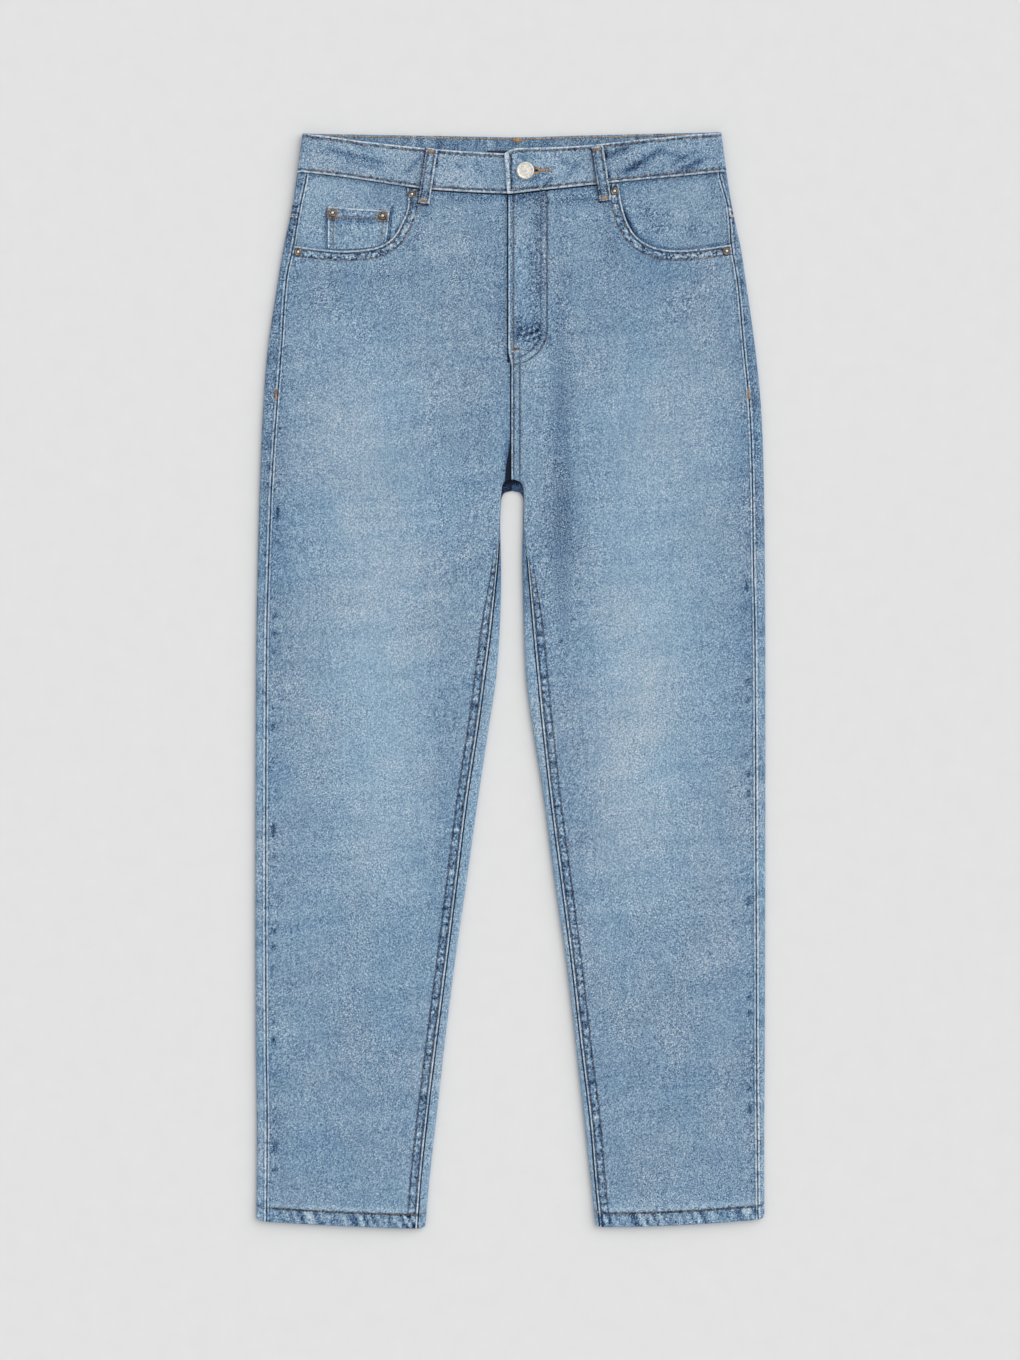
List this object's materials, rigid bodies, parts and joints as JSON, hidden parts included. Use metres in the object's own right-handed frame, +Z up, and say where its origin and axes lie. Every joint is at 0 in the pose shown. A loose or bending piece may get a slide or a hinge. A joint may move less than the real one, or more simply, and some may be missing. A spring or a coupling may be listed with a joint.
{
  "type": "mom jeans",
  "caption": "High-waisted light blue denim mom jeans laid flat, front up, with scooped front pockets, belt loops, a buttoned waistband and tapered legs.",
  "frame": {"origin": "on the surface that the jeans lie on, at the middle of their width and length", "axes": "+Z up out of the front, +Y from the hems towards the waist, +X towards the wearer's left leg"},
  "size_m": [0.4841, 1.0407, 0.0142],
  "materials": {
    "denim": "washed twill",
    "trim_denim": "washed twill",
    "label": "woven",
    "button_metal": "satin",
    "rivet_metal": "antique"
  },
  "bodies": {
    "root": {"front_right": "denim", "back_right": "denim", "yoke_right": "denim", "pocket_facing_right": "denim", "back_pocket_right": "denim", "belt_loop_front_right": "trim_denim", "belt_loop_side_right": "trim_denim", "front_left": "denim", "back_left": "denim", "yoke_left": "denim", "pocket_facing_left": "denim", "back_pocket_left": "denim", "belt_loop_front_left": "trim_denim", "belt_loop_side_left": "trim_denim", "belt_loop_back": "trim_denim", "waistband": "trim_denim", "coin_pocket": "denim", "waist_label": "label", "button": "button_metal", "rivet_right_top": "rivet_metal", "rivet_right_side": "rivet_metal", "rivet_left_top": "rivet_metal", "rivet_left_side": "rivet_metal", "rivet_coin_inner": "rivet_metal", "rivet_coin_outer": "rivet_metal"}
  },
  "joints": []
}
